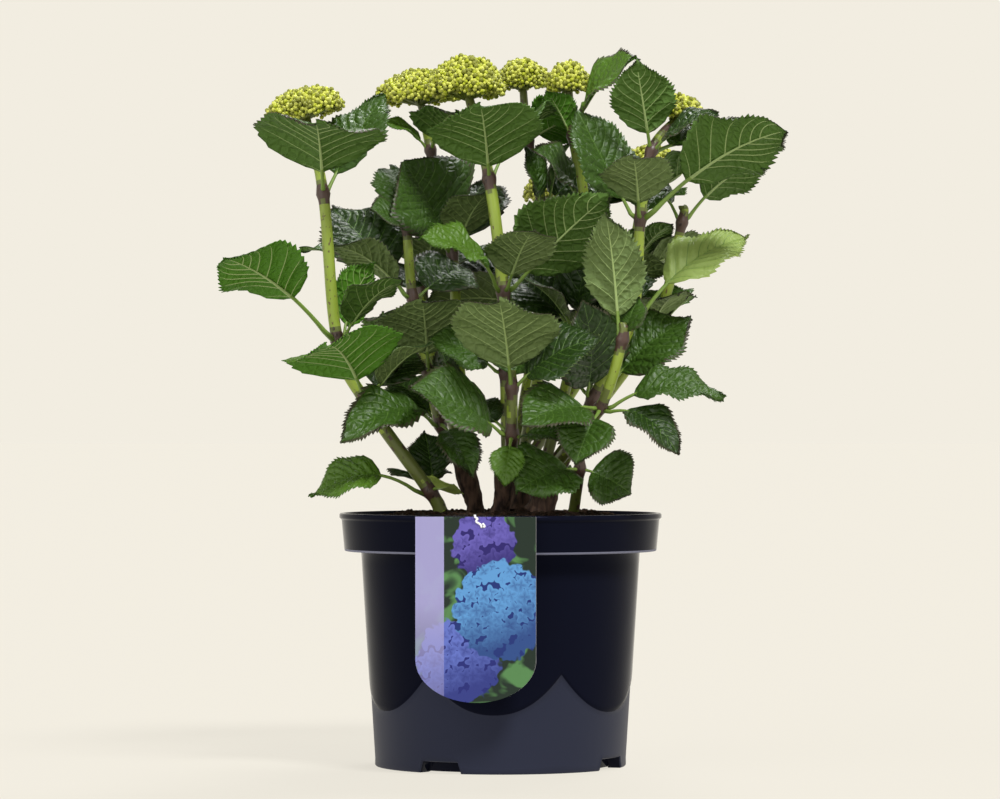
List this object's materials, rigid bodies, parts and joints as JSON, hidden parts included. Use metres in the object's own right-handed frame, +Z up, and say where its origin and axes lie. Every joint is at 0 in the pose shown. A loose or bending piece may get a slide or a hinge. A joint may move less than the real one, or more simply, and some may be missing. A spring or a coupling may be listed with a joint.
{
  "type": "potted hydrangea shrub",
  "caption": "Leafy hydrangea shrub with flat heads of green buds, in a black nursery pot with a picture label hooked over the rim.",
  "frame": {"origin": "middle of the pot's flat underside", "axes": "+Z up, -Y towards the front with the label, +X to the right seen from the front"},
  "size_m": [0.3967, 0.3143, 0.513],
  "materials": {
    "pot": "glossy black pot, satin towards the foot",
    "soil": "rough dark crumbs",
    "label": "printed glossy sheet",
    "label_hook": "smooth white",
    "woody_stem": "rough dark bark",
    "green_shoot": "smooth green skin with small specks",
    "leaves": "leathery, glossy above and pale beneath"
  },
  "bodies": {
    "root": {"crown_back": "leaves", "crown_back_left": "leaves", "crown_back_middle": "leaves", "crown_back_right": "leaves", "crown_centre": "leaves", "crown_centre_left": "leaves", "crown_centre_right": "leaves", "crown_front": "leaves", "crown_inner": "leaves", "crown_left": "leaves", "crown_low_right": "leaves", "crown_outer": "leaves", "crown_right": "leaves", "crown_right_front": "leaves", "label": "label", "label_hook": "label_hook", "leaves_back_1": "leaves", "leaves_back_2": "leaves", "leaves_back_left_1": "leaves", "leaves_back_left_2": "leaves", "leaves_back_middle_1": "leaves", "leaves_back_middle_2": "leaves", "leaves_back_right_1": "leaves", "leaves_back_right_2": "leaves", "leaves_centre_1": "leaves", "leaves_centre_2": "leaves", "leaves_centre_left_2": "leaves", "leaves_centre_right_1": "leaves", "leaves_centre_right_2": "leaves", "leaves_front_1": "leaves", "leaves_inner_1": "leaves", "leaves_inner_2": "leaves", "leaves_inner_3": "leaves", "leaves_left_1": "leaves", "leaves_left_2": "leaves", "leaves_left_3": "leaves", "leaves_outer_1": "leaves", "leaves_right_1": "leaves", "leaves_right_2": "leaves", "leaves_right_3": "leaves", "leaves_right_front_1": "leaves", "pot": "pot", "shoot_back": "green_shoot", "shoot_back_left": "green_shoot", "shoot_back_middle": "green_shoot", "shoot_back_right": "green_shoot", "shoot_centre": "green_shoot", "shoot_centre_left": "green_shoot", "shoot_centre_right": "green_shoot", "shoot_front": "green_shoot", "shoot_inner": "green_shoot", "shoot_left": "green_shoot", "shoot_outer": "green_shoot", "shoot_right": "green_shoot", "shoot_right_front": "green_shoot", "soil": "soil", "stem_back": "woody_stem", "stem_centre": "woody_stem", "stem_left": "woody_stem", "stem_right": "woody_stem"}
  },
  "joints": []
}
